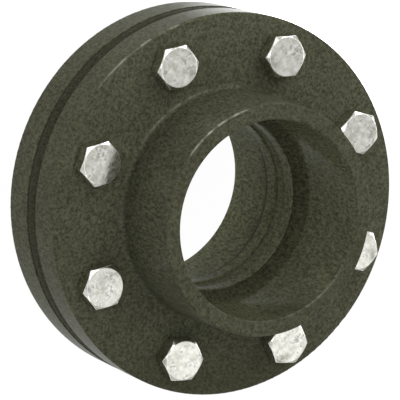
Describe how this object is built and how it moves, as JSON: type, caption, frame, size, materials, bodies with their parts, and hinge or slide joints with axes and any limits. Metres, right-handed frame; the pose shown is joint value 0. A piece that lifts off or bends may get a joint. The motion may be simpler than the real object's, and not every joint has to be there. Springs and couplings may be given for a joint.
{
  "type": "flange coupling",
  "caption": "Bolted flange coupling: two thick cast flanges with round hubs and pipe sockets, drawn together by a ring of hex bolts over a gasket, with a rubber seal in each socket.",
  "frame": {"origin": "centre of the rear hub's end face, on which the coupling stands", "axes": "+Z along the pipe axis, out of the front socket; the bolts straddle +X and +Y"},
  "size_m": [0.229, 0.229, 0.142],
  "materials": {
    "casting": "dark olive-grey coated casting with fine cast grain, worn edges",
    "fastener": "zinc plated, lightly mottled",
    "rubber": "matte black moulded rubber"
  },
  "bodies": {
    "root": {"front_flange": "casting", "rear_flange": "casting", "joint_gasket": "rubber", "front_seal": "rubber", "rear_seal": "rubber", "bolt_1": "fastener", "washer_1": "fastener", "nut_1": "fastener", "bolt_2": "fastener", "washer_2": "fastener", "nut_2": "fastener", "bolt_3": "fastener", "washer_3": "fastener", "nut_3": "fastener", "bolt_4": "fastener", "washer_4": "fastener", "nut_4": "fastener", "bolt_5": "fastener", "washer_5": "fastener", "nut_5": "fastener", "bolt_6": "fastener", "washer_6": "fastener", "nut_6": "fastener", "bolt_7": "fastener", "washer_7": "fastener", "nut_7": "fastener", "bolt_8": "fastener", "washer_8": "fastener", "nut_8": "fastener"}
  },
  "joints": []
}
